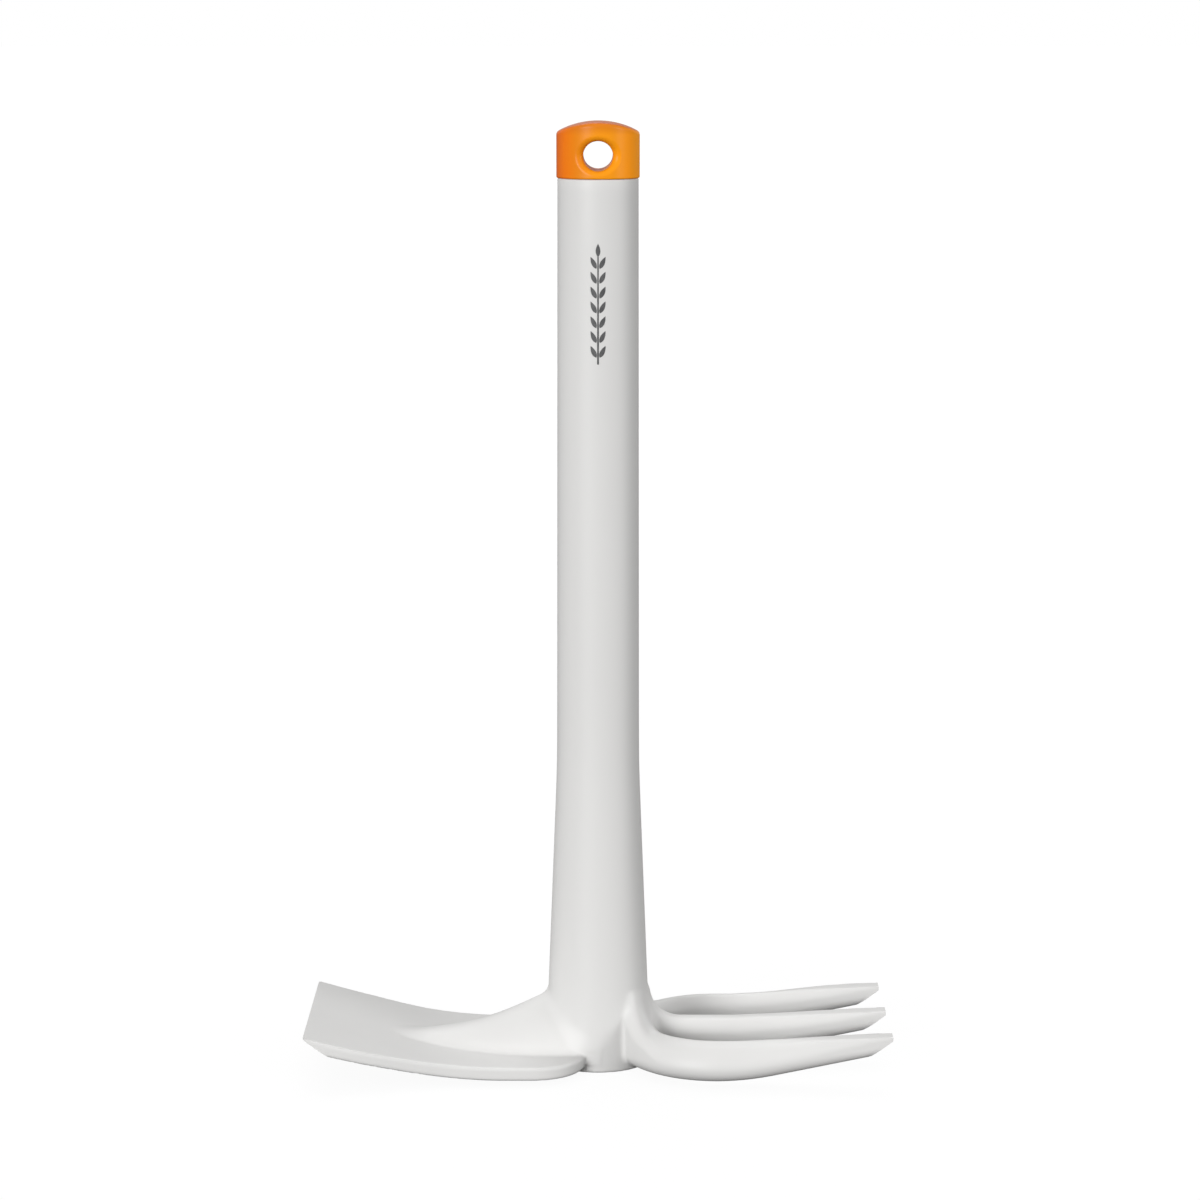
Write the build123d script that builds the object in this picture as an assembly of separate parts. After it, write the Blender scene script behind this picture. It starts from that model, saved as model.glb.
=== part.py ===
from build123d import *
import os
from math import radians, tan

# Hand grub hoe with a one-piece moulded body (tubular handle, hoe blade, three tines) and a
# snap-in end cap with a hanging hole. All lengths are in millimetres, all angles in degrees.
# The origin is the centre of the handle's flat foot. +Z runs up the handle, -X points to the
# blade, +X points to the tines, and Y runs across the tool, which is symmetric about Y = 0.

# Overall
REACH = 95.5                # handle axis to the cutting edge, and to the tine tips

# Handle
SEAT_HEIGHT = 291.7         # top face of the handle, where the cap sits
GRIP_RADIUS = 13.0          # at the top of the handle
GRIP_DRAFT = 0.13           # mould draft of the grip
FOOT_RADIUS = 17.45         # at the foot, before its edge is rounded
FOOT_TAPER = 2.29           # taper of the lower handle
TAPER_BLEND_RADIUS = 530.0  # long arc between the grip and the taper
FOOT_EDGE_RADIUS = 0.8
MOUTH_EDGE_RADIUS = 0.3

# Hollow core of the handle
BORE_RADIUS = 10.2
BORE_DRAFT = 0.25
BORE_FLOOR = 14.0
BORE_FLOOR_RADIUS = 4.0
GROOVE_HEIGHT = 281.5       # middle of the snap groove
GROOVE_WIDTH = 3.4
GROOVE_DEPTH = 0.6

# End cap
CAP_RADIUS = 13.35
CAP_TOP = 309.6
CAP_ARCH_RADIUS = 29.0      # arched top, level along Y
CAP_EDGE_RADIUS = 1.5
CAP_RIM_RADIUS = 0.5
HOLE_HEIGHT = 299.0
HOLE_RADIUS = 4.75
HOLE_RIM_RADIUS = 1.8
SPIGOT_RADIUS = 10.1
SPIGOT_BOTTOM = 274.0
SPIGOT_WALL = 2.2
SPIGOT_ROOF = 290.6
SPIGOT_LEAD_IN = 1.2
BEAD_HEIGHT = 0.45          # how far the snap bead stands proud of the spigot
BEAD_WIDTH = 2.4
BEAD_EDGE_RADIUS = 0.4

# Hoe blade: a plate that curves up towards its cutting edge
PLATE_TOP = 5.95
PLATE_BOTTOM = 1.6
CURVE_START_X = -30.0
MID_X, MID_TOP, MID_BOTTOM = -64.0, 9.35, 5.15
EDGE_TOP, EDGE_BOTTOM = 16.9, 16.4
BEVEL_X, BEVEL_BOTTOM = -87.4, 10.6
BLADE_HALF_WIDTH = 31.8
FLARE_START_X = -46.0
FLARE_MID_X, FLARE_MID_HALF = -70.0, 33.6
EDGE_HALF_WIDTH = 35.0
BLADE_ROOT_X = -4.5
BLADE_ROOT_RADIUS = 17.0
BLADE_EDGE_RADIUS = 0.8

# Gusset between blade and handle: arched sections as (x, half width, top height)
GUSSET_SECTIONS = (
    (-64.6, 1.2, 9.8),
    (-50.0, 10.6, 11.6),
    (-34.0, 15.6, 15.3),
    (-18.0, 16.8, 22.6),
    (-4.0, 14.6, 29.5),
)
GUSSET_ROOT_DEPTH = 2.0     # how far each section reaches down into the plate

# Tines: three bars, the outer two bending out of the handle and then running parallel
TINE_SPACING = 30.7
TINE_WIDTH = 11.6
TINE_TOP = 14.5
TINE_BOTTOM = 1.8
TINE_CORNER_RADIUS = 4.6
BEND_END_X = 39.0           # where the bends end and the bars start to taper
BEND_RADIUS = 26.2
BEND_TURN = 90.0
# Tapered run as (x, width, top height, bottom height, corner radius)
TAPER_SECTIONS = (
    (BEND_END_X, TINE_WIDTH, TINE_TOP, TINE_BOTTOM, TINE_CORNER_RADIUS),
    (68.0, 10.1, 15.5, 5.6, 3.4),
    (REACH, 5.6, 16.8, 11.0, 0.9),
)
TIP_THICKNESS = 1.3
TIP_BEVEL_ANGLE = 36.0
# Ribs that sweep the tines up the handle
RIB_TOE_X = 26.8
RIB_SWEEP_RADIUS = 11.8
RIB_CORNER_RADIUS = 3.5
RIB_INNER_X = 8.0

# Limits used to pick out edges and faces
OFF_AXIS = 1.0              # how near a line or corner counts as lying on an axis
FACING_UP = 0.9             # smallest Z of the normal of a face that faces up


def outer_corners(profile):
    """Corners of a half profile that lie off its axis, from the lowest up."""
    return profile.vertices().filter_by(lambda v: v.X > OFF_AXIS).sort_by(Axis.Y)


def handle_blank():
    """Solid of revolution: rounded foot, straight taper, long blend arc, drafted grip."""
    grip_slope = tan(radians(GRIP_DRAFT))
    taper_slope = tan(radians(FOOT_TAPER))
    foot_line = GRIP_RADIUS + grip_slope * SEAT_HEIGHT
    knee_height = (FOOT_RADIUS - foot_line) / (taper_slope - grip_slope)
    knee_radius = FOOT_RADIUS - taper_slope * knee_height
    outline = Polyline(
        (0, 0),
        (FOOT_RADIUS, 0),
        (knee_radius, knee_height),
        (GRIP_RADIUS, SEAT_HEIGHT),
        (0, SEAT_HEIGHT),
        close=True,
    )
    face = make_face(outline)
    face = fillet(outer_corners(face)[1], TAPER_BLEND_RADIUS)
    face = fillet(outer_corners(face)[0], FOOT_EDGE_RADIUS)
    face = fillet(outer_corners(face)[-1], MOUTH_EDGE_RADIUS)
    return revolve(Plane.XZ * face, Axis.Z)


def handle_core():
    """Hollow of the handle: drafted bore with a rounded floor and the snap groove."""
    floor_radius = BORE_RADIUS - tan(radians(BORE_DRAFT)) * (SEAT_HEIGHT - BORE_FLOOR)
    outline = Polyline(
        (0, BORE_FLOOR),
        (floor_radius, BORE_FLOOR),
        (BORE_RADIUS, SEAT_HEIGHT),
        (0, SEAT_HEIGHT),
        close=True,
    )
    face = make_face(outline)
    face = fillet(outer_corners(face)[0], BORE_FLOOR_RADIUS)
    bore = revolve(Plane.XZ * face, Axis.Z)
    groove = Cylinder(BORE_RADIUS + GROOVE_DEPTH, GROOVE_WIDTH)
    return bore + Pos(0, 0, GROOVE_HEIGHT) * groove


def blade_side():
    """Side outline of the plate: flat at the handle, two arcs up to the bevelled edge."""
    flat_left = (-1, 0)
    top_flat = Line((0, PLATE_TOP), (CURVE_START_X, PLATE_TOP))
    top_arc = TangentArc((CURVE_START_X, PLATE_TOP), (MID_X, MID_TOP), tangent=flat_left)
    top_tip = TangentArc(top_arc @ 1, (-REACH, EDGE_TOP), tangent=top_arc % 1)
    edge = Line((-REACH, EDGE_TOP), (-REACH, EDGE_BOTTOM))
    bevel = Line((-REACH, EDGE_BOTTOM), (BEVEL_X, BEVEL_BOTTOM))
    low_flat = Line((CURVE_START_X, PLATE_BOTTOM), (0, PLATE_BOTTOM))
    low_arc = TangentArc((CURVE_START_X, PLATE_BOTTOM), (MID_X, MID_BOTTOM), tangent=flat_left)
    low_tip = TangentArc(low_arc @ 1, (BEVEL_X, BEVEL_BOTTOM), tangent=low_arc % 1)
    inner = Line((0, PLATE_BOTTOM), (0, PLATE_TOP))
    return make_face([top_flat, top_arc, top_tip, edge, bevel, low_tip, low_arc, low_flat, inner])


def blade_plan():
    """Plan outline of the plate: round shoulders, parallel sides, a flare to the edge."""
    shoulder_x = BLADE_ROOT_X - BLADE_ROOT_RADIUS
    shoulder_y = BLADE_HALF_WIDTH - BLADE_ROOT_RADIUS
    edges = []
    for side in (1, -1):
        root = Line((BLADE_ROOT_X, 0), (BLADE_ROOT_X, side * shoulder_y))
        shoulder = TangentArc(
            (BLADE_ROOT_X, side * shoulder_y),
            (shoulder_x, side * BLADE_HALF_WIDTH),
            tangent=(0, side),
        )
        parallel = Line(shoulder @ 1, (FLARE_START_X, side * BLADE_HALF_WIDTH))
        flare = TangentArc(parallel @ 1, (FLARE_MID_X, side * FLARE_MID_HALF), tangent=(-1, 0))
        tip = TangentArc(flare @ 1, (-REACH, side * EDGE_HALF_WIDTH), tangent=flare % 1)
        edges += [root, shoulder, parallel, flare, tip, Line(tip @ 1, (-REACH, 0))]
    return make_face(edges)


def hoe_blade():
    """Plate cut from its side and plan outlines, with rounded upper side edges."""
    side = extrude(Plane.XZ * blade_side(), amount=2 * EDGE_HALF_WIDTH, both=True)
    plan = extrude(blade_plan(), amount=2 * EDGE_TOP)
    plate = side & plan
    rim = []
    for face in plate.faces().filter_by(lambda f: f.normal_at().Z > FACING_UP):
        rim += face.edges().filter_by(lambda e: abs(e.center().Y) > BLADE_ROOT_RADIUS / 2)
    return fillet(rim, BLADE_EDGE_RADIUS)


def gusset():
    """Arched web that fairs the blade into the lower handle."""
    sections = []
    for x, half_width, top in GUSSET_SECTIONS:
        base = plate_top_at(x)
        arch = EllipticalCenterArc((0, base), half_width, top - base, start_angle=0, arc_size=180)
        left = Line((-half_width, base), (-half_width, base - GUSSET_ROOT_DEPTH))
        right = Line((half_width, base), (half_width, base - GUSSET_ROOT_DEPTH))
        floor = Line(left @ 1, right @ 1)
        sections.append(Plane(origin=(x, 0, 0), x_dir=(0, 1, 0), z_dir=(1, 0, 0))
                        * make_face([arch, left, floor, right]))
    return loft(sections)


def plate_top_at(x):
    """Height of the plate's upper face at a distance x from the handle axis."""
    if x >= CURVE_START_X:
        return PLATE_TOP
    run = MID_X - CURVE_START_X
    rise = MID_TOP - PLATE_TOP
    radius = (run**2 + rise**2) / (2 * rise)
    return PLATE_TOP + radius - (radius**2 - (x - CURVE_START_X)**2)**0.5


def bar_section(x, width, top, bottom, corner):
    """Rounded rectangle across a straight bar."""
    plane = Plane(origin=(x, 0, (top + bottom) / 2), x_dir=(0, 1, 0), z_dir=(1, 0, 0))
    return plane * RectangleRounded(width, top - bottom, corner)


def tapered_run():
    """Straight part of a tine, down to its flat tip and the bevel under it."""
    bar = loft([bar_section(*section) for section in TAPER_SECTIONS])
    tip_low = TAPER_SECTIONS[-1][2] - TIP_THICKNESS
    bevel_run = (tip_low - TINE_BOTTOM) / tan(radians(TIP_BEVEL_ANGLE))
    wedge = make_face(Polyline(
        (REACH, tip_low),
        (REACH, TINE_BOTTOM),
        (REACH - bevel_run, TINE_BOTTOM),
        close=True,
    ))
    return bar - extrude(Plane.XZ * wedge, amount=TINE_WIDTH, both=True)


def rib_side():
    """Side outline of a root rib: a hollow sweep from the tine's top up the handle."""
    centre = (RIB_TOE_X, TINE_TOP + RIB_SWEEP_RADIUS)
    sweep = CenterArc(centre, RIB_SWEEP_RADIUS, 180, 90)
    low = (TINE_TOP + TINE_BOTTOM) / 2
    low_toe = (RIB_TOE_X, low)
    low_heel = (RIB_INNER_X, low)
    high_heel = (RIB_INNER_X, centre[1])
    return make_face([sweep, Polyline(sweep @ 1, low_toe, low_heel, high_heel, sweep @ 0)])


def middle_tine():
    """Straight tine with its root rib."""
    root = extrude(bar_section(*TAPER_SECTIONS[0]), amount=RIB_INNER_X - BEND_END_X)
    rib = extrude(Plane.XZ * rib_side(), amount=TINE_WIDTH / 2, both=True)
    rib = fillet(rib.edges().filter_by(GeomType.CIRCLE), RIB_CORNER_RADIUS)
    return tapered_run() + root + rib


def outer_tine():
    """Tine on the +Y side: it leaves the handle on a bend and then runs parallel to X."""
    axis_y = TINE_SPACING - BEND_RADIUS
    outer_radius = BEND_RADIUS + TINE_WIDTH / 2
    inner_radius = BEND_RADIUS - TINE_WIDTH / 2
    run = Pos(0, TINE_SPACING, 0) * tapered_run()
    section = Pos(0, TINE_SPACING, 0) * bar_section(*TAPER_SECTIONS[0])
    bend = revolve(section, Axis((BEND_END_X, axis_y, 0), (0, 0, 1)), BEND_TURN)
    outside = CenterArc((BEND_END_X, axis_y), outer_radius, 90, BEND_TURN)
    inside = CenterArc((BEND_END_X, axis_y), inner_radius, 90, BEND_TURN)
    ring = make_face([outside, Line(outside @ 1, inside @ 1), inside, Line(inside @ 0, outside @ 0)])
    side = extrude(Plane.XZ * rib_side(), amount=2 * TINE_SPACING, both=True)
    rib = side & extrude(ring, amount=2 * RIB_TOE_X)
    rib = fillet(rib.edges().filter_by(GeomType.BSPLINE), RIB_CORNER_RADIUS)
    return run + bend + rib


def tool_body():
    """One moulding: handle, blade, gusset and tines, with the handle's hollow core."""
    side_tine = outer_tine()
    body = handle_blank() + hoe_blade() + gusset()
    body = body + middle_tine() + side_tine + mirror(side_tine, Plane.XZ)
    return body - handle_core()


def cap_head():
    """Round head of the cap with an arched top, and the hanging hole through it."""
    upright = (Align.CENTER, Align.CENTER, Align.MIN)
    blank = Pos(0, 0, SEAT_HEIGHT) * Cylinder(CAP_RADIUS, CAP_TOP - SEAT_HEIGHT, align=upright)
    arch = Pos(0, 0, CAP_TOP - CAP_ARCH_RADIUS) * Rot(90, 0, 0) * Cylinder(CAP_ARCH_RADIUS, 3 * CAP_RADIUS)
    head = blank & arch
    head = fillet(head.faces().sort_by(Axis.Z)[-1].edges(), CAP_EDGE_RADIUS)
    head = fillet(head.faces().sort_by(Axis.Z)[0].edges(), CAP_RIM_RADIUS)
    head = head - Pos(0, 0, HOLE_HEIGHT) * Rot(90, 0, 0) * Cylinder(HOLE_RADIUS, 3 * CAP_RADIUS)
    mouths = head.edges().filter_by(
        lambda e: abs(e.center().Y) > CAP_RADIUS / 2 and abs(e.center().Z - HOLE_HEIGHT) < OFF_AXIS)
    return fillet(mouths, HOLE_RIM_RADIUS)


def cap_spigot():
    """Hollow spigot under the head, with a lead-in chamfer and the snap bead."""
    upright = (Align.CENTER, Align.CENTER, Align.MIN)
    foot = Pos(0, 0, SPIGOT_BOTTOM)
    tube = foot * Cylinder(SPIGOT_RADIUS, SEAT_HEIGHT - SPIGOT_BOTTOM, align=upright)
    tube = chamfer(tube.edges().group_by(Axis.Z)[0], SPIGOT_LEAD_IN)
    bead = Pos(0, 0, GROOVE_HEIGHT) * Cylinder(SPIGOT_RADIUS + BEAD_HEIGHT, BEAD_WIDTH)
    bead = fillet(bead.edges().filter_by(GeomType.CIRCLE), BEAD_EDGE_RADIUS)
    inside = SPIGOT_RADIUS - SPIGOT_WALL
    core = foot * Cylinder(inside, SPIGOT_ROOF - SPIGOT_BOTTOM, align=upright)
    return tube + bead - core


def end_cap():
    """Cap with a hanging hole, held by a spigot that snaps into the handle."""
    return cap_head() + cap_spigot()


def main():
    os.makedirs("parts", exist_ok=True)
    export_step(tool_body(), "parts/tool_body.step")
    export_step(end_cap(), "parts/end_cap.step")


main()
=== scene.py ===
import math

import bpy
import numpy as np
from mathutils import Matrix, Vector


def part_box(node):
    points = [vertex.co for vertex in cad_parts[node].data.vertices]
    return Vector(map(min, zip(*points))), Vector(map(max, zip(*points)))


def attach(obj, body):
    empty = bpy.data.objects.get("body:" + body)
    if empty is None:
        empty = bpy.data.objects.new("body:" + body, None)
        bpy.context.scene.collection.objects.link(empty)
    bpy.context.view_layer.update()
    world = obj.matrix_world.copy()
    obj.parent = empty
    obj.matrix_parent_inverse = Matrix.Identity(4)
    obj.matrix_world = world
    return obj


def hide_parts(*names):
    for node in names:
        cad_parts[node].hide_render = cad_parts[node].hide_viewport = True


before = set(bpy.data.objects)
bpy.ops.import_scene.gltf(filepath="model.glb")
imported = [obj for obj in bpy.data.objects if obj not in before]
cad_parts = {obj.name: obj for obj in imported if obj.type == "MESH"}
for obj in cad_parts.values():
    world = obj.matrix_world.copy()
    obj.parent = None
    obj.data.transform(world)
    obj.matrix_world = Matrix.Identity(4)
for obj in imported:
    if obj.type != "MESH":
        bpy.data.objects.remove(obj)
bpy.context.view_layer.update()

# Lengths are in millimetres up to the point where a mesh, light or camera is made.
MM = 0.001

body_low, body_high = (np.array(corner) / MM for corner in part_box("tool_body"))
cap_low, cap_high = (np.array(corner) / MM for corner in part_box("end_cap"))

REACH = float(body_high[0])          # handle axis to the tine tips and to the cutting edge
SEAT = float(body_high[2])           # top of the handle, under the cap
HALF_WIDTH = float(body_high[1])     # middle plane to the outer side of an outer tine

# Handle
GRIP_RADIUS = 13.0
GRIP_SLOPE = 0.0023
FOOT_RADIUS = 17.45
FOOT_SLOPE = 0.04
KNEE_SOFTNESS = 0.19
FOOT_EDGE = 0.8
MOUTH_EDGE = 0.5
BORE_RADIUS = 10.2
BORE_FLOOR = 14.0
BORE_FLOOR_RADIUS = 9.4
GROOVE_RADIUS = 10.8
GROOVE_LOW, GROOVE_HIGH = 279.8, 283.2

# Hoe blade
PLATE_TOP = ((-30.0, 5.95), (-64.0, 9.35), (-REACH, 16.9))
PLATE_BOTTOM = ((-30.0, 1.6), (-64.0, 5.15), (-87.4, 10.6))
CUTTING_EDGE_LOW = 16.4
BLADE_HALF = 31.8
BLADE_ROOT_X = -4.5
SHOULDER_RADIUS = 17.0
FLARE_START_X = -46.0
FLARE_MID_X, FLARE_MID_GAIN = -70.0, 1.8
FLARE_END_GAIN = 3.2
EDGE_CORNER = 1.6                    # in plan, at the ends of the cutting edge
PLATE_EDGE = 0.9
PLATE_FILLET = 0.8

# Gusset: half width, and height above the blade, from its point to the handle
GUSSET_X = (-72.0, -65.0, -57.0, -47.0, -37.0, -24.0, -12.0, -5.0, 0.0)
GUSSET_HALF = (3.0, 6.0, 9.0, 11.2, 13.9, 16.8, 17.4, 17.2, 16.6)
GUSSET_RISE = (-2.6, -0.3, 2.1, 4.9, 7.9, 13.5, 19.6, 22.6, 25.0)
GUSSET_ROOT = 2.5                    # how far each section reaches down into the blade
FLANK_POWER = 1.5                    # 2 is an ellipse, 1 is a flat flank
FLANK_START_X, FLANK_LENGTH = -50.0, 36.0
GUSSET_CREASE = 1.6                  # fillet where it meets the blade
GUSSET_FILLET = 2.2                  # fillet where it meets the handle
FILLET_START_X, FILLET_GROWTH = -52.0, 30.0

# Tines
TINE_SPACING = 30.7
TINE_HALF = HALF_WIDTH - TINE_SPACING
TIP_HALF = 2.8
SLIMMING = 1.8                       # power of the narrowing towards the tips
TINE_TOP = 14.5
TIP_TOP = 16.8
TOP_RISE_X = 45.0                    # from here the tops rise in a straight line to the tips
TINE_BOTTOM = 1.8
TOP_SLOPE = (TIP_TOP - TINE_TOP) / (REACH - TOP_RISE_X)
BEND_END_X = 39.0
BEND_RADIUS = 26.2
TINE_CORNER = 4.9
ROOT_CORNER = 4.2                    # tighter outer corner where a root meets the handle
ROOT_SLIM = 0.7                      # and a root's slimmer side towards its neighbour
FACET_START_X = 52.0
FACET_DEPTH = 2.1
FACET_EDGE = 0.35
FACET_LEAD = 8.0
RISE_START_X = 38.0
RISE_SLOPE = 0.2
RISE_LENGTH = 19.0
TIP_THICKNESS = 1.3
BEVEL_SLOPE = 0.72
ROOT_SWEEP = 11.6                    # concave sweep from the tines' tops up the handle
MIDDLE_PROUD, OUTER_PROUD = -0.15, 0.7   # how far the sweep's crest stands off the handle
RIDGE_GAIN = 1.2                     # extra height of the sweep at an outer tine's outer side
RIDGE_END, RIDGE_FADE = 10.0, 9.0
CREST = TINE_TOP + ROOT_SWEEP
CREST_EDGE, CREST_FILLET = 2.6, 0.7
OUTER_LEAN = 0.34                    # outward slope of an outer tine's top in its bend
LEAN_START, LEAN_RISE = 13.0, 8.0
LEAN_FADE_START, LEAN_FADE = 42.0, 50.0
CROTCH_FILLET = 3.0
ROOT_FILLET = 1.6
THIN_FILLET = 0.4                    # the same fillet where it runs out at foot and crest

# Painted shade: deeper, redder orange at the top of the cap, measured down from its crest
ARCH_DEPTH, ARCH_FADE = 9.0, 2.0     # on faces that look up
BAND_DEPTH, BAND_FADE = 4.0, 3.0     # all round
BAND_SHARE = 0.55

# Printed sprig on the front of the grip
PRINT_LOW, PRINT_HIGH = 233.0, 271.5
PRINT_PROUD = 0.05                   # thickness of the ink above the grip
PRINT_SUNK = 0.3                     # and of its hidden base inside the grip
STEM_WIDTH = 0.6
STEM_FOOT = 2.2                      # bare length below the lowest leaves
LEAF_ROWS = 7
LEAF_LENGTH, LEAF_WIDTH = 4.2, 1.5
LEAF_TILT = 26.0                     # degrees from the stem
LEAF_GAP = 0.55                      # from the middle of the stem to the foot of a leaf
LEAF_POINTS = 13                     # from foot to tip
TOP_PAIR_DROP = 1.9 * LEAF_LENGTH    # from the sprig's tip to the feet of its highest pair
STEM_DROP = 0.95 * LEAF_LENGTH       # and to the top of the stem
STEM_THINNING = 0.7                  # width at the stem's top, as a share of STEM_WIDTH
STEM_POINTS = 20

# Mesh of the body
CELL = 0.8
FINE_CELL = 0.4
FINE_REACH = 3.2                     # length of the finely meshed blade edge and tine tips
JOIN_HEIGHT = 46.0                   # from here up the handle is plain rings
GRID_FLOOR = -0.3
LOW_CELL, LOW_TOP = 0.55, 18.0       # flatter cells up to just above the blade and the tines
HIGH_START, HIGH_COUNT = 18.4, 36
RING_COUNT = 36
MOUTH_START = 4.0                    # the last plain ring's distance below the handle's top
SHARP_ANGLE = 40                     # degrees between faces that don't shade into each other

# Stage and camera
FLOOR_HALF = 4e4
FLOOR_GLOW = 0.94
CAMERA_PLACE = (0.63, -1150.0, 342.7)
CAMERA_DOWN = 9.284                  # degrees below level
SENSOR_WIDTH, LENS = 36.0, 107.1


def clamp(value, low, high):
    return np.minimum(np.maximum(value, low), high)


def smooth_curve(places, heights, x):
    """Height at x of a smooth curve through the given points."""
    places, heights = np.array(places), np.array(heights)
    slopes = np.gradient(heights, places)
    k = np.clip(np.searchsorted(places, x) - 1, 0, len(places) - 2)
    step = places[k + 1] - places[k]
    t = clamp((x - places[k]) / step, 0.0, 1.0)
    start = heights[k] * (1 + 2 * t) + slopes[k] * step * t
    end = heights[k + 1] * (3 - 2 * t) - slopes[k + 1] * step * (1 - t)
    return start * (1 - t) ** 2 + end * t ** 2


def smooth_step(value):
    """0 below 0, 1 above 1, and an S-curve in between."""
    t = clamp(value, 0.0, 1.0)
    return t * t * (3.0 - 2.0 * t)


def meet(a, b, radius):
    """Field of the space inside both a and b, with their common edge rounded."""
    outer = np.hypot(np.maximum(a + radius, 0.0), np.maximum(b + radius, 0.0))
    return np.minimum(np.maximum(a, b), -radius) + outer


def join(a, b, radius):
    """Field of the space inside a or b, with a fillet where they meet."""
    inner = np.hypot(np.maximum(radius - a, 0.0), np.maximum(radius - b, 0.0))
    return np.maximum(np.minimum(a, b), radius) - inner


def handle_radius(z):
    """Outer radius of the handle: the larger of foot taper and grip draft, blended."""
    taper = FOOT_RADIUS - FOOT_SLOPE * z
    grip = GRIP_RADIUS + GRIP_SLOPE * (SEAT - z)
    return 0.5 * (taper + grip + np.sqrt((taper - grip) ** 2 + KNEE_SOFTNESS ** 2))


def rising_curve(points, x):
    """Height and slope at x of two tangent arcs that start level and run towards -X."""
    (x0, z0), (x1, z1), (x2, z2) = points
    first = ((x0 - x1) ** 2 + (z1 - z0) ** 2) / (2 * (z1 - z0))
    tilt = math.asin((x0 - x1) / first)
    chord = math.atan2(z2 - z1, x1 - x2)
    second = math.hypot(x1 - x2, z2 - z1) / (2 * math.sin(chord - tilt))
    centre_x = x1 + second * math.sin(tilt)
    centre_z = z1 + second * math.cos(tilt)
    run_one = clamp(x0 - x, 0.0, x0 - x1)
    run_two = np.maximum(centre_x - x, 0.0)
    near = z0 + first - np.sqrt(first ** 2 - run_one ** 2)
    far = centre_z - np.sqrt(second ** 2 - run_two ** 2)
    slope_near = run_one / np.sqrt(first ** 2 - run_one ** 2)
    slope_far = run_two / np.sqrt(second ** 2 - run_two ** 2)
    beyond = x < x1
    return np.where(beyond, far, near), np.where(beyond, slope_far, slope_near)


def blade_field(x, y, z):
    """Curved plate with round shoulders, a flare and a bevelled cutting edge."""
    top, top_slope = rising_curve(PLATE_TOP, x)
    low, low_slope = rising_curve(PLATE_BOTTOM, x)
    above = (z - top) / np.sqrt(1 + top_slope ** 2)
    below = (low - z) / np.sqrt(1 + low_slope ** 2)

    first = clamp(FLARE_START_X - x, 0.0, FLARE_START_X - FLARE_MID_X)
    second = np.maximum(FLARE_MID_X - x, 0.0)
    flare_run = FLARE_START_X - FLARE_MID_X
    end_run = FLARE_MID_X + REACH
    mid_slope = 2 * FLARE_MID_GAIN / flare_run
    bend = (mid_slope * end_run - (FLARE_END_GAIN - FLARE_MID_GAIN)) / end_run ** 2
    flare = FLARE_MID_GAIN * (first / flare_run) ** 2 + mid_slope * second - bend * second ** 2
    across_x = x - (BLADE_ROOT_X - SHOULDER_RADIUS)
    across_y = y - flare - (BLADE_HALF - SHOULDER_RADIUS)
    corner = np.hypot(np.maximum(across_x, 0.0), np.maximum(across_y, 0.0))
    sides = corner + np.minimum(np.maximum(across_x, across_y), 0.0) - SHOULDER_RADIUS

    bevel_x, bevel_z = PLATE_BOTTOM[-1]
    bevel_slope = (CUTTING_EDGE_LOW - bevel_z) / (bevel_x + REACH)
    bevel_low = CUTTING_EDGE_LOW - (x + REACH) * bevel_slope
    bevel = (bevel_low - z) / math.hypot(1.0, bevel_slope)
    thickness = top - np.maximum(low, bevel_low)
    edge = PLATE_EDGE * clamp(thickness / (PLATE_TOP[0][1] - PLATE_BOTTOM[0][1]), 0.1, 1.0)
    slab = np.maximum(meet(above, sides, edge), meet(below, sides, edge))
    outline = meet(sides, -REACH - x, EDGE_CORNER)
    return np.maximum(slab, np.maximum(bevel, outline))


def gusset_field(x, y, z):
    """Arched web standing on the plate: half ellipses, with flatter flanks near the handle."""
    base, _ = rising_curve(PLATE_TOP, x)
    half = smooth_curve(GUSSET_X, GUSSET_HALF, x)
    height = smooth_curve(GUSSET_X, GUSSET_RISE, x) + GUSSET_ROOT
    rise = z - base + GUSSET_ROOT
    power = 2.0 - (2.0 - FLANK_POWER) * smooth_step((x - FLANK_START_X) / FLANK_LENGTH)
    side, up = np.abs(y) / half, np.abs(rise) / height
    ratio = np.maximum((side ** power + up ** power) ** (1 / power), 1e-6)
    steep = np.hypot((side / ratio) ** (power - 1) / half, (up / ratio) ** (power - 1) / height)
    arch = (ratio - 1.0) / steep
    return np.maximum(np.maximum(arch, -rise), np.maximum(x, GUSSET_X[0] - x))


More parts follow.
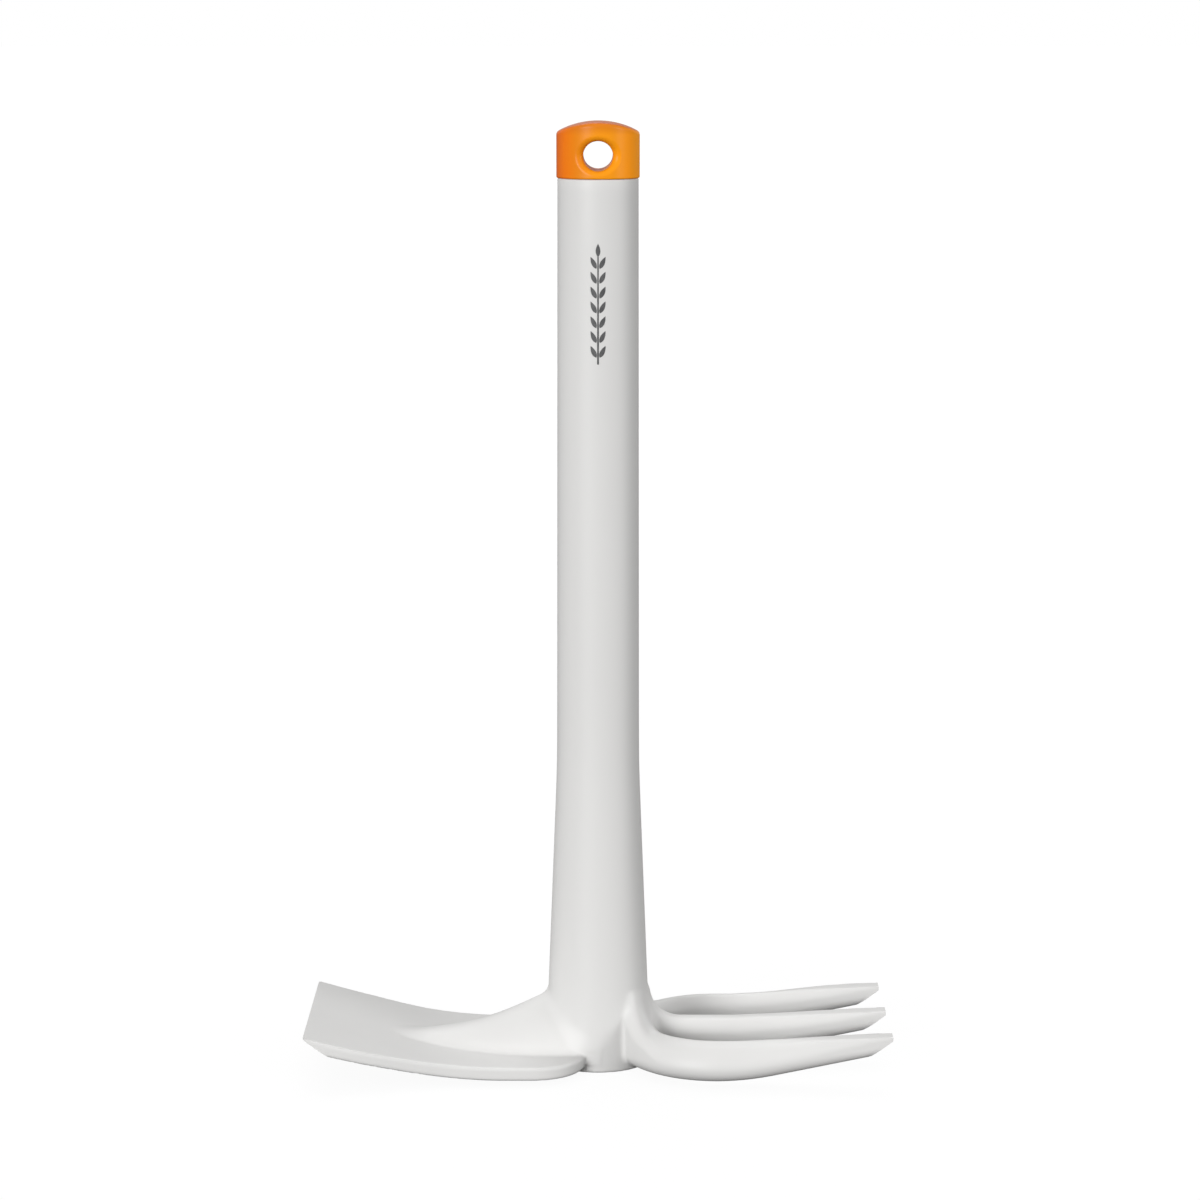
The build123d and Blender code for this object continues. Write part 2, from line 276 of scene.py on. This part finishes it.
def bar_field(x, y, z, across, top):
    """Tine section, from its centre line out: rounded bar, flat top facet and tip bevel."""
    run = clamp((x - BEND_END_X) / (REACH - BEND_END_X), 0.0, 1.2)
    half = TINE_HALF - (TINE_HALF - TIP_HALF) * run ** SLIMMING
    near = 1 - smooth_step((np.hypot(x, y) - FOOT_RADIUS) / ROOT_SWEEP)
    outer = smooth_step(0.5 * across / half + 0.5) * near
    corner = (TINE_CORNER + (ROOT_CORNER - TINE_CORNER) * outer) * half / TINE_HALF
    climb = np.maximum(x - RISE_START_X, 0.0)
    bottom = TINE_BOTTOM + RISE_SLOPE * np.where(
        climb < RISE_LENGTH, climb ** 2 / (2 * RISE_LENGTH), climb - RISE_LENGTH / 2)
    rising = RISE_SLOPE * clamp(climb / RISE_LENGTH, 0.0, 1.0)
    below = (bottom - z) / np.sqrt(1 + rising ** 2)
    sides = np.maximum(across, -across + ROOT_SLIM * near) - half
    bar = np.maximum(meet(top, sides, corner), meet(below, sides, corner))

    start = x - FACET_START_X
    level = TINE_TOP + TOP_SLOPE * np.maximum(x - TOP_RISE_X, 0.0)
    clear = FACET_EDGE * (1 - smooth_step(start / FACET_LEAD)) + 2 * np.maximum(-start, 0.0)
    facet = z - level - clear
    tip_low = TIP_TOP - TIP_THICKNESS
    bevel = (tip_low - BEVEL_SLOPE * (REACH - x) - z) / math.hypot(1.0, BEVEL_SLOPE)
    ends = np.maximum(x - REACH, bevel)
    return np.maximum(meet(bar, facet, FACET_EDGE), ends)


def tine_top(x, y, z, proud):
    """Field below the tops of the tines, which sweep up the handle at their roots."""
    run = np.maximum(x - FACET_START_X, 0.0) / (REACH - FACET_START_X)
    lift = TOP_SLOPE * np.maximum(x - TOP_RISE_X, 0.0) + FACET_DEPTH * run ** 2
    centre_z = TINE_TOP + ROOT_SWEEP
    centre_reach = handle_radius(centre_z) + ROOT_SWEEP + proud
    short = np.maximum(centre_reach - np.hypot(x, y), 0.0)
    top = ROOT_SWEEP - np.hypot(short, np.maximum(centre_z + lift - z, 0.0))
    return meet(top, z - CREST, CREST_EDGE)


def tines_field(x, y, z):
    """The middle tine and the outer one on the +Y side, and the space below their tops."""
    middle_top = tine_top(x, y, z, MIDDLE_PROUD)
    middle = np.maximum(bar_field(x, y, z, -y, middle_top), -x)

    off_x = np.minimum(x - BEND_END_X, 0.0)
    off_y = y - (TINE_SPACING - BEND_RADIUS)
    across = np.where(x < BEND_END_X, np.hypot(off_x, off_y), off_y) - BEND_RADIUS
    lean = smooth_step((x - LEAN_START) / LEAN_RISE)
    lean = lean * (1 - smooth_step((x - LEAN_FADE_START) / LEAN_FADE))
    ridge = smooth_step(0.5 * across / TINE_HALF + 0.5)
    ridge = ridge * (1 - smooth_step((x - RIDGE_END) / RIDGE_FADE))
    raised = z + OUTER_LEAN * lean * np.maximum(across + TINE_HALF / 2, 0.0) - RIDGE_GAIN * ridge
    outer_top = tine_top(x, y, raised, OUTER_PROUD)
    outer = np.maximum(bar_field(x, y, z, across, outer_top), -y)
    return join(middle, outer, CROTCH_FILLET), np.minimum(middle_top, outer_top)


def body_field(x, y, z):
    """Signed distance, nearly, to the outside of the whole moulding near its foot."""
    y = np.abs(y)
    handle = meet(np.hypot(x, y) - handle_radius(z), -z, FOOT_EDGE)
    body = join(handle, blade_field(x, y, z), PLATE_FILLET)
    nearness = smooth_step((x - FILLET_START_X) / FILLET_GROWTH)
    nearness = nearness * smooth_step((z - PLATE_TOP[0][1]) / GUSSET_FILLET)
    fillet = GUSSET_CREASE + (GUSSET_FILLET - GUSSET_CREASE) * nearness
    body = join(body, gusset_field(x, y, z), fillet)
    tines, tops = tines_field(x, y, z)
    fullness = smooth_step(z / (2 * ROOT_FILLET))
    fullness = fullness * smooth_step((CREST + RIDGE_GAIN - z) / ROOT_SWEEP)
    filleted = join(body, tines, THIN_FILLET + (ROOT_FILLET - THIN_FILLET) * fullness)
    body = np.maximum(filleted, join(body, tops, CREST_FILLET))
    return np.maximum(body, -z)


def graded_line(low, high):
    """Grid lines with fine cells near both ends."""
    fine = np.arange(0.0, FINE_REACH, FINE_CELL)
    inner_low, inner_high = low + FINE_REACH, high - FINE_REACH
    count = int(round((inner_high - inner_low) / CELL))
    middle = np.linspace(inner_low, inner_high, count + 1)
    return np.concatenate([low + fine, middle, (high - fine)[::-1]])


def crossings(values, lines, rounds=5):
    """Along each axis: the lower grid node of every edge the surface crosses, and the place."""
    for axis in range(3):
        count = values.shape[axis] - 1
        lower = np.take(values, range(count), axis)
        upper = np.take(values, range(1, count + 1), axis)
        node = np.argwhere((lower < 0) != (upper < 0))
        first, last = lower[tuple(node.T)], upper[tuple(node.T)]
        start = np.stack([lines[k][node[:, k]] for k in range(3)], 1)
        step = lines[axis][node[:, axis] + 1] - lines[axis][node[:, axis]]
        low, high = np.zeros(len(node)), np.ones(len(node))
        outward = last >= 0
        for _ in range(rounds):
            share = low + (high - low) * clamp(first / (first - last), 0.05, 0.95)
            place = start.copy()
            place[:, axis] += share * step
            value = field_at(place)
            before = (value < 0) == (first < 0)
            low, first = np.where(before, share, low), np.where(before, value, first)
            high, last = np.where(before, high, share), np.where(before, last, value)
        yield axis, node, place, outward


def field_at(points):
    return body_field(points[:, 0], points[:, 1], points[:, 2])


def gradient_at(points, delta=0.01):
    return np.stack([
        (field_at(points + delta * axis) - field_at(points - delta * axis)) / (2 * delta)
        for axis in np.eye(3)], 1)


def corner_points(cell, place, count, flatness=0.08):
    """Point of each cell that best fits the surface planes crossing it, and its sharpness.

    Directions in which the normals spread less than the flatness share count as flat.
    """
    normal = gradient_at(place)
    normal /= np.linalg.norm(normal, axis=1)[:, None]

    def total(weights):
        return np.bincount(cell, weights, count)

    share = total(None)
    middle = np.stack([total(place[:, k]) / share for k in range(3)], 1)
    offset = (normal * (place - middle[cell])).sum(1)
    spread = np.stack([
        np.stack([total(normal[:, i] * normal[:, j]) for i in range(3)], 1)
        for j in range(3)], 1)
    pull = np.stack([total(normal[:, k] * offset) for k in range(3)], 1)
    size, way = np.linalg.eigh(spread)
    inverse = np.where(size > flatness * size[:, 2:], 1.0 / np.maximum(size, 1e-9), 0.0)
    along = (way * pull[:, :, None]).sum(1) * inverse
    shift = (way * along[:, None, :]).sum(2)
    limit = CELL / np.maximum(np.linalg.norm(shift, axis=1), CELL)
    return middle + shift * limit[:, None], size[:, 1] / size[:, 2]


def surface_net(values, lines):
    """Points and outward quads around the zero level of a field sampled on grid lines."""
    cells = np.array(values.shape) - 1
    ids, places, quads = [], [], []
    for axis, node, place, outward in crossings(values, lines):
        side, up = (axis + 1) % 3, (axis + 2) % 3
        ring, fits = [], np.ones(len(node), bool)
        for back_side, back_up in ((1, 1), (0, 1), (0, 0), (1, 0)):
            cell = node.copy()
            cell[:, side] -= back_side
            cell[:, up] -= back_up
            inside = np.all((cell >= 0) & (cell < cells), 1)
            fits &= inside
            number = np.ravel_multi_index(np.where(inside[:, None], cell, 0).T, cells)
            ids.append(number[inside])
            places.append(place[inside])
            ring.append(number)
        quad = np.stack(ring, 1)
        quad[~outward] = quad[~outward][:, ::-1]
        quads.append(quad[fits])
    used, cell = np.unique(np.concatenate(ids), return_inverse=True)
    points, sharpness = corner_points(cell, np.concatenate(places), len(used))
    return points, sharpness, np.searchsorted(used, np.concatenate(quads))


def settle(points, rounds, longest=0.3, faintest=0.1):
    """Moves points onto the zero level of the field, along its gradient, in limited steps."""
    for _ in range(rounds):
        gradient = gradient_at(points)
        size = np.maximum((gradient ** 2).sum(1), faintest)
        step = clamp(field_at(points) / size, -longest, longest)
        points = points - step[:, None] * gradient
    return points


def neighbour_mean(points, edges):
    """For each point, the mean of the points that share an edge with it."""
    here, there = np.concatenate([edges, edges[:, ::-1]]).T
    count = np.bincount(here, minlength=len(points))
    total = np.stack([np.bincount(here, points[there, k], len(points)) for k in range(3)], 1)
    return total / count[:, None]


def edge_uses(faces):
    """Edges of the quads, and how many quads use each."""
    pairs = np.concatenate([faces[:, [k, (k + 1) % 4]] for k in range(4)])
    return np.unique(np.sort(pairs, 1), axis=0, return_counts=True)


def walk(edges):
    """Points of one closed loop of edges, in order."""
    beside = {}
    for a, b in edges.tolist():
        beside.setdefault(a, []).append(b)
        beside.setdefault(b, []).append(a)
    loop = [edges[0, 0], edges[0, 1]]
    while loop[-1] != loop[0]:
        loop.append(next(v for v in beside[loop[-1]] if v != loop[-2]))
    return np.array(loop[:-1])


def circle(radius, height, turns):
    """Points round the handle's axis at the given angles."""
    level = np.full(len(turns), height)
    return np.stack([radius * np.cos(turns), radius * np.sin(turns), level], 1)


def head_grid():
    """Grid lines along X, Y and Z around the head."""
    across = int(2 * (HALF_WIDTH + CELL) / CELL)
    return (
        graded_line(-REACH - 2 * FINE_CELL, REACH + 2 * FINE_CELL),
        np.linspace(-HALF_WIDTH - CELL, HALF_WIDTH + CELL, across + across % 2),
        np.concatenate([
            np.arange(GRID_FLOOR, LOW_TOP, LOW_CELL),
            np.linspace(HIGH_START, JOIN_HEIGHT, HIGH_COUNT)]),
    )


def head_net(sharp=0.05, easing=0.4, rounds=3):
    """Mesh of the head, open at JOIN_HEIGHT, with its rim and the rim's angles.

    Points on sharp edges and on the rim are held; the others are eased and settled again.
    """
    lines = head_grid()
    grid = np.meshgrid(*lines, indexing="ij", sparse=True)
    points, sharpness, faces = surface_net(body_field(*grid), lines)
    edges, uses = edge_uses(faces)
    rim = walk(edges[uses == 1])
    angle = np.unwrap(np.arctan2(points[rim, 1], points[rim, 0]))
    if angle[-1] < angle[0]:
        rim, angle = rim[::-1], angle[::-1]
    even = np.arange(len(rim)) * 2 * math.pi / len(rim)
    turns = even + (angle - even).mean()
    held = sharpness > sharp
    held[rim] = True
    points = np.clip(settle(points, rounds), body_low, body_high)
    points[rim] = circle(handle_radius(JOIN_HEIGHT), JOIN_HEIGHT, turns)
    for _ in range(rounds):
        eased = (1 - easing) * points + easing * neighbour_mean(points, edges)
        points = np.where(held[:, None], points, settle(eased, 2))
    return points, faces.tolist(), rim.tolist(), turns


def handle_profile():
    """Radius and height of each ring above the head: up the outside, down the bore."""
    heights = np.linspace(JOIN_HEIGHT, SEAT - MOUTH_START, RING_COUNT)[1:]
    profile = [(float(handle_radius(z)), float(z)) for z in heights]
    for turn in np.radians((0.0, 30.0, 60.0, 90.0)):
        profile.append((
            float(handle_radius(SEAT)) - MOUTH_EDGE * (1 - math.cos(turn)),
            SEAT - MOUTH_EDGE * (1 - math.sin(turn))))
    return profile + [
        (BORE_RADIUS, SEAT), (BORE_RADIUS, GROOVE_HIGH), (GROOVE_RADIUS, GROOVE_HIGH),
        (GROOVE_RADIUS, GROOVE_LOW), (BORE_RADIUS, GROOVE_LOW), (BORE_FLOOR_RADIUS, BORE_FLOOR)]


def mesh_object(name, points, faces, sharp_angle=None):
    """Object with a smooth-shaded mesh, from points in millimetres."""
    mesh = bpy.data.meshes.new(name)
    mesh.from_pydata((np.asarray(points) * MM).tolist(), [], faces)
    mesh.polygons.foreach_set("use_smooth", [True] * len(mesh.polygons))
    if sharp_angle is not None:
        mesh.set_sharp_from_angle(angle=math.radians(sharp_angle))
    obj = bpy.data.objects.new(name, mesh)
    bpy.context.scene.collection.objects.link(obj)
    return obj


def moulded_body():
    """The one-piece moulding: netted head, ringed handle, and the bore inside it."""
    points, faces, below, turns = head_net()
    points = [points]
    first = len(points[0])
    for radius, height in handle_profile():
        ring = list(range(first, first + len(turns)))
        points.append(circle(radius, height, turns))
        faces += zip(below, below[1:] + below[:1], ring[1:] + ring[:1], ring)
        below, first = ring, first + len(turns)
    faces.append(below)
    return mesh_object("moulded_body", np.concatenate(points), faces, SHARP_ANGLE)


def leaf_outline(foot_height, side):
    """Pointed leaf, as places across and up the grip; side 0 stands on top of the stem."""
    along = np.linspace(0.0, 1.0, LEAF_POINTS)
    half = 0.5 * LEAF_WIDTH * np.sin(math.pi * along ** 0.8) ** 0.9
    length = np.concatenate([along, along[-2:0:-1]]) * LEAF_LENGTH
    width = np.concatenate([half, -half[-2:0:-1]])
    tilt = side * math.radians(LEAF_TILT)
    across = side * LEAF_GAP + length * math.sin(tilt) + width * math.cos(tilt)
    return across, foot_height + length * math.cos(tilt) - width * math.sin(tilt)


def stem_outline():
    """Strip that thins towards its top, in short steps up the grip."""
    up = np.linspace(PRINT_LOW, PRINT_HIGH - STEM_DROP, STEM_POINTS)
    half = 0.5 * STEM_WIDTH * np.linspace(1.0, STEM_THINNING, STEM_POINTS)
    return np.concatenate([-half, half[::-1]]), np.concatenate([up, up[::-1]])


def inked_patch(across, up, first):
    """Closed thin slab over an outline wrapped round the front of the grip."""
    radius = handle_radius(up)
    turn = across / radius - 0.5 * math.pi
    points = []
    for reach in (radius + PRINT_PROUD, radius - PRINT_SUNK):
        points.append(np.stack([reach * np.cos(turn), reach * np.sin(turn), up], 1))
    count = len(up)
    face, back = range(first, first + count), range(first + count, first + 2 * count)
    sides = [(face[k], back[k], back[k - 1], face[k - 1]) for k in range(count)]
    return np.concatenate(points), [tuple(face), tuple(back)[::-1]] + sides


def printed_sprig():
    """Plain leaf sprig in ink, one slab to each leaf and one to the stem."""
    outlines = [stem_outline(), leaf_outline(PRINT_HIGH - LEAF_LENGTH, 0)]
    lowest, highest = PRINT_LOW + STEM_FOOT, PRINT_HIGH - TOP_PAIR_DROP
    for foot_height in np.linspace(lowest, highest, LEAF_ROWS):
        for side in (-1, 1):
            outlines.append(leaf_outline(foot_height, side))
    points, faces, first = [], [], 0
    for across, up in outlines:
        more, patch = inked_patch(across, up, first)
        points.append(more)
        faces += patch
        first += len(more)
    return mesh_object("printed_sprig", np.concatenate(points), faces, SHARP_ANGLE)


# Materials

def new_material(name):
    material = bpy.data.materials.new(name)
    material.use_nodes = True
    return material, material.node_tree.nodes, material.node_tree.links


def noise(nodes, links, source, scale, detail, stretch=(1, 1, 1)):
    """Noise at a scale in cycles per metre, over the part's own coordinates."""
    place = nodes.new("ShaderNodeMapping")
    place.inputs["Scale"].default_value = stretch
    links.new(source, place.inputs["Vector"])
    texture = nodes.new("ShaderNodeTexNoise")
    texture.inputs["Scale"].default_value = scale
    texture.inputs["Detail"].default_value = detail
    links.new(place.outputs["Vector"], texture.inputs["Vector"])
    return texture.outputs["Fac"]


def ramp(nodes, links, source, stops):
    """Colour ramp from (position, colour) stops."""
    node = nodes.new("ShaderNodeValToRGB")
    node.color_ramp.elements[0].position, node.color_ramp.elements[0].color = stops[0]
    node.color_ramp.elements[1].position, node.color_ramp.elements[1].color = stops[-1]
    for position, colour in stops[1:-1]:
        node.color_ramp.elements.new(position).color = colour
    links.new(source, node.inputs["Fac"])
    return node.outputs["Color"]


def span(nodes, links, source, low, high):
    """Maps a 0 to 1 value onto low to high."""
    node = nodes.new("ShaderNodeMapRange")
    node.inputs["To Min"].default_value = low
    node.inputs["To Max"].default_value = high
    links.new(source, node.inputs["Value"])
    return node.outputs["Result"]


def bump(nodes, links, height, distance, strength, below=None):
    """Bump with its full height in metres, laid over another one if that is given."""
    node = nodes.new("ShaderNodeBump")
    node.inputs["Distance"].default_value = distance
    node.inputs["Strength"].default_value = strength
    links.new(height, node.inputs["Height"])
    if below is not None:
        links.new(below, node.inputs["Normal"])
    return node.outputs["Normal"]


def moulded_plastic(name, pale, dark, roughness, grain, shine):
    """Satin moulded plastic: fine grain, faint flow marks along the handle, uneven gloss."""
    material, nodes, links = new_material(name)
    shader = nodes["Principled BSDF"]
    place = nodes.new("ShaderNodeTexCoord").outputs["Object"]
    flow = noise(nodes, links, place, scale=22.0, detail=4.0, stretch=(1.0, 1.0, 0.22))
    links.new(ramp(nodes, links, flow, [(0.3, dark), (0.7, pale)]), shader.inputs["Base Color"])
    gloss = noise(nodes, links, place, scale=60.0, detail=3.0)
    links.new(span(nodes, links, gloss, *roughness), shader.inputs["Roughness"])
    fine = noise(nodes, links, place, scale=3200.0, detail=2.0)
    soft = noise(nodes, links, place, scale=260.0, detail=2.0)
    normal = bump(nodes, links, soft, distance=0.00004, strength=0.35)
    normal = bump(nodes, links, fine, distance=0.00001, strength=grain, below=normal)
    links.new(normal, shader.inputs["Normal"])
    shader.inputs["IOR"].default_value = 1.5
    shader.inputs["Specular IOR Level"].default_value = shine
    return material


def up_to(nodes, links, value, start, end):
    """Rises from 0 to 1 while a value goes from start to end."""
    node = nodes.new("ShaderNodeMapRange")
    node.inputs["From Min"].default_value = start
    node.inputs["From Max"].default_value = end
    links.new(value, node.inputs["Value"])
    return node.outputs["Result"]


def math_node(nodes, links, operation, first, second):
    """A sum, product or the like of two values, either of which may be a plain number."""
    node = nodes.new("ShaderNodeMath")
    node.operation = operation
    for socket, value in zip(node.inputs, (first, second)):
        if isinstance(value, float):
            socket.default_value = value
        else:
            links.new(value, socket)
    return node.outputs["Value"]


def painted_shade_on_top(nodes, links, colour, place, painted_shade_colour):
    """Paints shade on the cap's arched top, and part of the way under it: turns a colour into a
    darker, redder one on faces that look up and in a band all round below the crest.
    """
    faces = nodes.new("ShaderNodeSeparateXYZ")
    links.new(nodes.new("ShaderNodeTexCoord").outputs["Normal"], faces.inputs["Vector"])
    heights = nodes.new("ShaderNodeSeparateXYZ")
    links.new(place, heights.inputs["Vector"])
    crest = float(cap_high[2])
    upward = up_to(nodes, links, faces.outputs["Z"], 0.3, 0.9)
    high = up_to(nodes, links, heights.outputs["Z"],
                 (crest - ARCH_DEPTH) * MM, (crest - ARCH_DEPTH + ARCH_FADE) * MM)
    arch = math_node(nodes, links, "MULTIPLY", upward, high)
    near_crest = up_to(nodes, links, heights.outputs["Z"],
                       (crest - BAND_DEPTH) * MM, (crest - BAND_DEPTH + BAND_FADE) * MM)
    band = math_node(nodes, links, "MULTIPLY", BAND_SHARE, near_crest)
    mix = nodes.new("ShaderNodeMix")
    mix.data_type = "RGBA"
    links.new(math_node(nodes, links, "MAXIMUM", arch, band), mix.inputs["Factor"])
    links.new(colour, mix.inputs["A"])
    mix.inputs["B"].default_value = painted_shade_colour
    return mix.outputs["Result"]


def orange_plastic():
    """Glossier moulded plastic with painted light: darker and redder on the -X side, lighter and
    yellower on the +X side towards the fill light, and painted shade on its arched top.
    """
    material, nodes, links = new_material("orange_plastic")
    shader = nodes["Principled BSDF"]
    place = nodes.new("ShaderNodeTexCoord").outputs["Object"]
    axes = nodes.new("ShaderNodeSeparateXYZ")
    links.new(place, axes.inputs["Vector"])
    # Painted light: the colour runs from darker and redder on the -X side to lighter and yellower
    # on the +X side, towards the fill light
    side = up_to(nodes, links, axes.outputs["X"],
                 float(cap_low[0]) * MM, float(cap_high[0]) * MM)
    cloud = noise(nodes, links, place, scale=90.0, detail=3.0)
    cloud = span(nodes, links, cloud, -0.05, 0.05)
    front = ramp(nodes, links, math_node(nodes, links, "ADD", side, cloud), [
        (0.0, (0.70, 0.13, 0.009, 1)), (0.1, (0.77, 0.172, 0.006, 1)),
        (0.25, (0.72, 0.21, 0.007, 1)), (0.45, (0.80, 0.27, 0.007, 1)),
        (0.7, (0.82, 0.28, 0.007, 1)), (0.87, (1.0, 0.32, 0.008, 1)),
        (1.0, (1.0, 0.36, 0.009, 1))])
    # Painted shade: darker, redder colour on the cap's arched top
    links.new(painted_shade_on_top(nodes, links, front, place, (0.50, 0.11, 0.012, 1)),
              shader.inputs["Base Color"])
    gloss = noise(nodes, links, place, scale=110.0, detail=3.0)
    links.new(span(nodes, links, gloss, 0.28, 0.38), shader.inputs["Roughness"])
    soft = noise(nodes, links, place, scale=220.0, detail=2.0)
    fine = noise(nodes, links, place, scale=3000.0, detail=2.0)
    normal = bump(nodes, links, soft, distance=0.00004, strength=0.4)
    normal = bump(nodes, links, fine, distance=0.00001, strength=0.3, below=normal)
    links.new(normal, shader.inputs["Normal"])
    shader.inputs["Specular IOR Level"].default_value = 0.12
    return material


def ink():
    """Matt dark grey ink, a little thinner in places."""
    material, nodes, links = new_material("grey_ink")
    shader = nodes["Principled BSDF"]
    place = nodes.new("ShaderNodeTexCoord").outputs["Object"]
    patchy = noise(nodes, links, place, scale=900.0, detail=4.0)
    tone = ramp(nodes, links, patchy, [
        (0.35, (0.06, 0.06, 0.062, 1)), (0.75, (0.1, 0.1, 0.102, 1))])
    links.new(tone, shader.inputs["Base Color"])
    links.new(span(nodes, links, patchy, 0.5, 0.65), shader.inputs["Roughness"])
    links.new(bump(nodes, links, patchy, distance=0.00001, strength=0.4), shader.inputs["Normal"])
    return material


def floor_material():
    """Pale studio floor; a glow that only the camera sees keeps it near white."""
    material, nodes, links = new_material("pale_floor")
    shader = nodes["Principled BSDF"]
    shader.inputs["Base Color"].default_value = (0.05, 0.05, 0.05, 1)
    shader.inputs["Roughness"].default_value = 0.9
    shader.inputs["Specular IOR Level"].default_value = 0.1
    shader.inputs["Emission Color"].default_value = (1, 1, 1, 1)
    path = nodes.new("ShaderNodeLightPath")
    links.new(span(nodes, links, path.outputs["Is Camera Ray"], 0.0, FLOOR_GLOW),
              shader.inputs["Emission Strength"])
    return material


def dress(obj, material):
    obj.data.materials.clear()
    obj.data.materials.append(material)


def studio_world(seen, ambient):
    """Even surroundings: one brightness behind the object, another for the light it gives."""
    world = bpy.data.worlds.new("studio")
    bpy.context.scene.world = world
    world.use_nodes = True
    nodes, links = world.node_tree.nodes, world.node_tree.links
    path = nodes.new("ShaderNodeLightPath")
    links.new(span(nodes, links, path.outputs["Is Camera Ray"], ambient, seen),
              nodes["Background"].inputs["Strength"])
    nodes["Background"].inputs["Color"].default_value = (1, 1, 1, 1)


def soft_sun(name, azimuth, elevation, spread, strength):
    """Wide even light; azimuth 0 comes from the camera's side and -90 from the left."""
    light = bpy.data.lights.new(name, "SUN")
    light.angle = math.radians(spread)
    light.energy = strength
    obj = bpy.data.objects.new(name, light)
    turn, rise = math.radians(azimuth), math.radians(elevation)
    level = math.cos(rise)
    towards = Vector((math.sin(turn) * level, -math.cos(turn) * level, math.sin(rise)))
    obj.rotation_euler = towards.to_track_quat("Z", "Y").to_euler()
    bpy.context.scene.collection.objects.link(obj)


# Pieces

body = moulded_body()
dress(body, moulded_plastic(
    "white_plastic", pale=(0.62, 0.616, 0.607, 1), dark=(0.595, 0.591, 0.583, 1),
    roughness=(0.42, 0.54), grain=0.5, shine=0.32))
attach(body, "root")
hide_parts("tool_body")

sprig = printed_sprig()
dress(sprig, ink())
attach(sprig, "root")

dress(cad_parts["end_cap"], orange_plastic())

# Stage, lights and camera

corners = [(-FLOOR_HALF, -FLOOR_HALF, 0), (FLOOR_HALF, -FLOOR_HALF, 0),
           (FLOOR_HALF, FLOOR_HALF, 0), (-FLOOR_HALF, FLOOR_HALF, 0)]
floor = mesh_object("floor", corners, [(0, 1, 2, 3)])
dress(floor, floor_material())

studio_world(seen=1.0, ambient=0.5)
soft_sun("key", azimuth=-32, elevation=12, spread=24, strength=2.76)
soft_sun("fill", azimuth=65, elevation=11, spread=22, strength=1.24)
soft_sun("back", azimuth=187, elevation=54, spread=44, strength=1.26)

camera = bpy.data.cameras.new("camera")
camera.sensor_width = SENSOR_WIDTH
camera.lens = LENS
view = bpy.data.objects.new("camera", camera)
view.location = Vector(CAMERA_PLACE) * MM
view.rotation_euler = (math.radians(90 - CAMERA_DOWN), 0, 0)
bpy.context.scene.collection.objects.link(view)
bpy.context.scene.camera = view
bpy.context.scene.view_settings.view_transform = "Standard"
